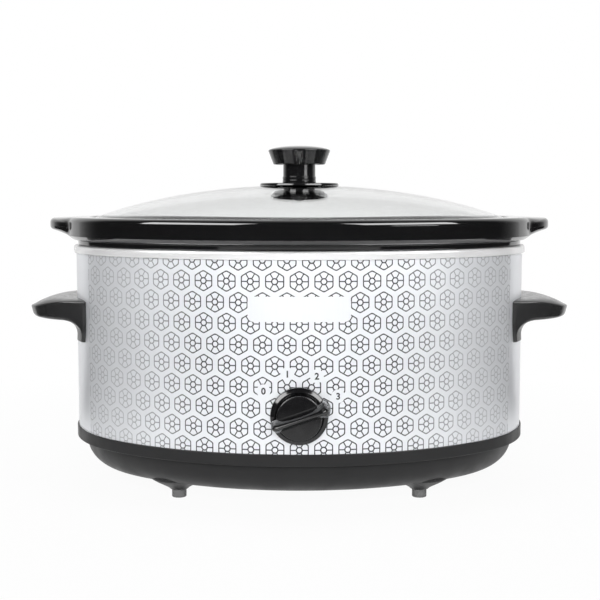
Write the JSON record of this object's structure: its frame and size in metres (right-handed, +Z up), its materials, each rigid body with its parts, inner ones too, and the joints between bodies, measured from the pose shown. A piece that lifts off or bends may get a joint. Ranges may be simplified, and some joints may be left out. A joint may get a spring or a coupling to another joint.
{
  "type": "slow cooker",
  "caption": "Oval slow cooker: a lift-out stoneware crock in a heated steel housing, with a domed glass lid and a turning control.",
  "frame": {"origin": "on the table under the middle of the whole cooker, control knob included", "axes": "+X along the oval's length to the right, +Y towards the rear, +Z up; the control knob faces -Y"},
  "size_m": [0.434, 0.3034, 0.2683],
  "materials": {
    "wall": "satin silver sheet printed with a fine line pattern",
    "ring": "polished",
    "well": "pressed, satin",
    "heater": "matte",
    "plated_steel": "zinc plated",
    "brass": "plain",
    "fuse": "white ceramic tube",
    "base_plastic": "satin moulded",
    "black_plastic": "gloss moulded",
    "foot_rubber": "matte",
    "switch_plastic": "plain",
    "gland_rubber": "matte",
    "black_wire": "smooth",
    "red_wire": "smooth",
    "blue_wire": "smooth",
    "stoneware": "black gloss glaze",
    "lid_glass": "clear tempered",
    "gasket": "matte"
  },
  "bodies": {
    "housing": {"outer_wall": "wall", "rim_ring": "ring", "heating_well": "well", "heater_band": "heater", "heater_clamp": "plated_steel", "clamp_bolt": "plated_steel", "heater_terminals": "brass", "thermal_fuse": "fuse", "fuse_clip": "plated_steel", "base_shell": "base_plastic", "foot_front_left": "foot_rubber", "foot_front_right": "foot_rubber", "foot_rear_left": "foot_rubber", "foot_rear_right": "foot_rubber", "heat_shield": "well", "well_bracket_left": "plated_steel", "well_bracket_right": "plated_steel", "base_screws": "plated_steel", "handle_left": "black_plastic", "handle_right": "black_plastic", "handle_screws": "plated_steel", "switch_body": "switch_plastic", "switch_cover": "switch_plastic", "switch_screws": "plated_steel", "switch_contacts": "brass", "terminal_block": "switch_plastic", "terminal_screws": "brass", "cord_gland": "gland_rubber", "lead_live": "black_wire", "lead_heater": "red_wire", "lead_neutral": "blue_wire", "lead_fuse": "blue_wire"},
    "dial": {"control_knob": "black_plastic", "knob_spring": "plated_steel", "switch_shaft": "plated_steel", "switch_rotor": "switch_plastic"},
    "crock": {"crock": "stoneware"},
    "lid": {"lid_glass": "lid_glass", "lid_knob": "black_plastic", "knob_disc": "black_plastic", "lid_gasket": "gasket", "lid_washer": "black_plastic", "lid_screw": "plated_steel"}
  },
  "joints": [
    {"name": "dial_turn", "type": "hinge", "parent": "housing", "child": "dial", "pos_m": [0, -0.13075, 0.0742], "axis": [0, -1, 0], "range_deg": [0, 120]},
    {"name": "crock_lift", "type": "slide", "parent": "housing", "child": "crock", "axis": [0, 0, 1], "range_m": [0, 0.16]},
    {"name": "lid_lift", "type": "slide", "parent": "crock", "child": "lid", "axis": [0, 0, 1], "range_m": [0, 0.1]}
  ]
}
